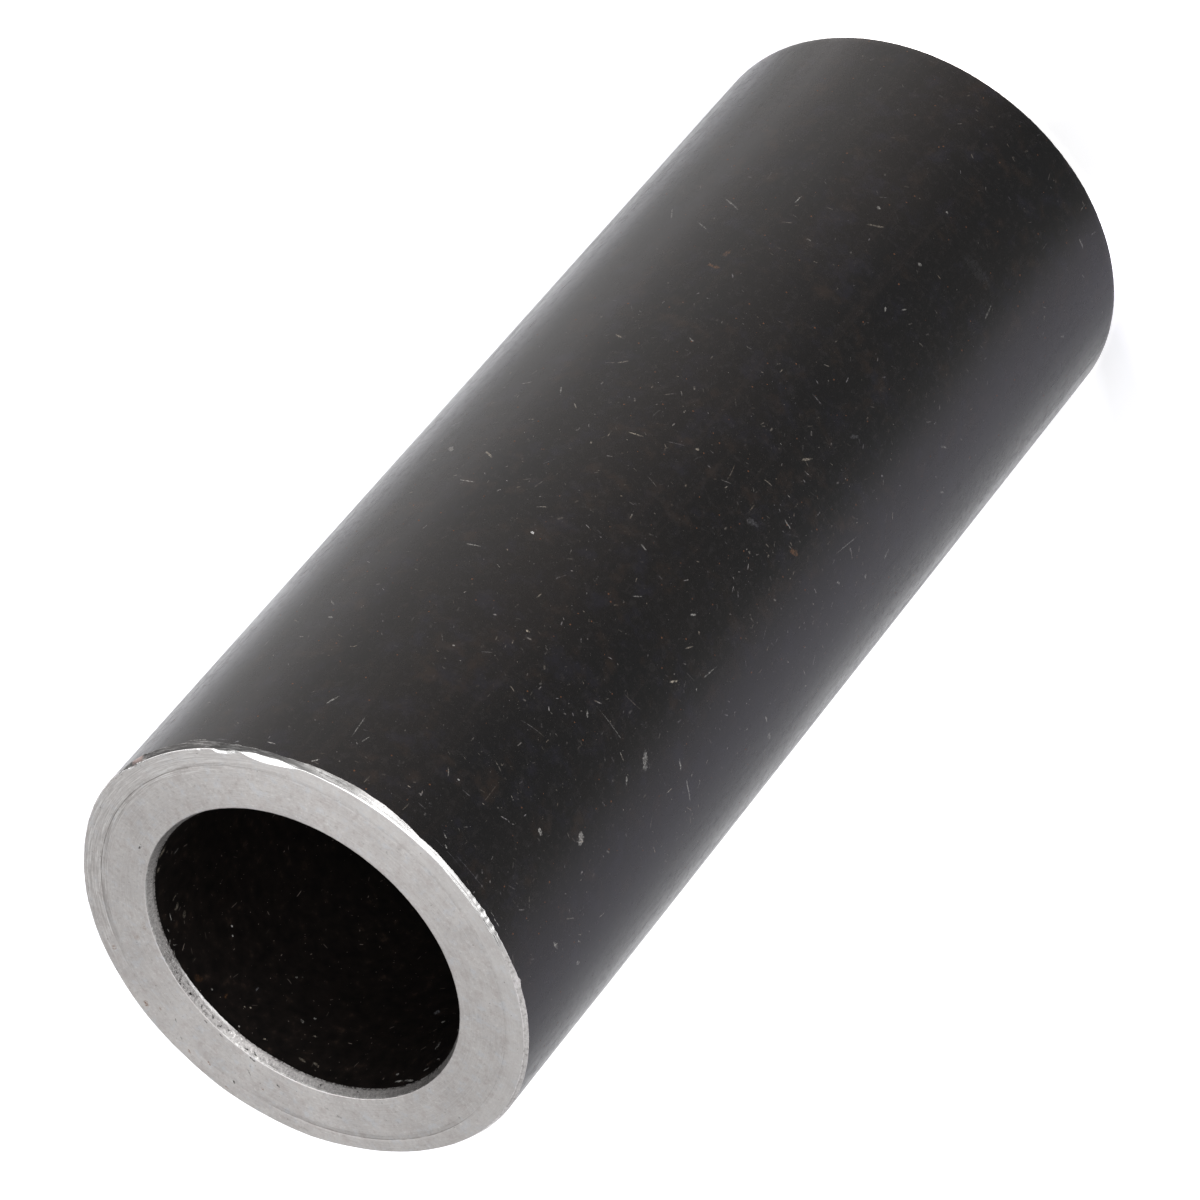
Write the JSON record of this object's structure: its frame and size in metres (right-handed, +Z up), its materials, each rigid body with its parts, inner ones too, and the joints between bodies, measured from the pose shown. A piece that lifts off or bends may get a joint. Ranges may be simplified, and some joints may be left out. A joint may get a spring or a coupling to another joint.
{
  "type": "bushing",
  "caption": "Plain round steel bushing: a thick-walled straight sleeve with faced ends, chamfered bore mouths and a black outer skin, to run on a pin or space parts apart.",
  "frame": {"origin": "middle of the lower end face, on the bore's axis", "axes": "+Z up along the bore's axis, from the lower end face to the upper one; X and Y are alike, and -Y is the side that the picture's camera stands on"},
  "size_m": [0.051, 0.051, 0.133],
  "materials": {
    "black_skinned_steel": "satin"
  },
  "bodies": {
    "root": {"bushing_sleeve": "black_skinned_steel"}
  },
  "joints": []
}
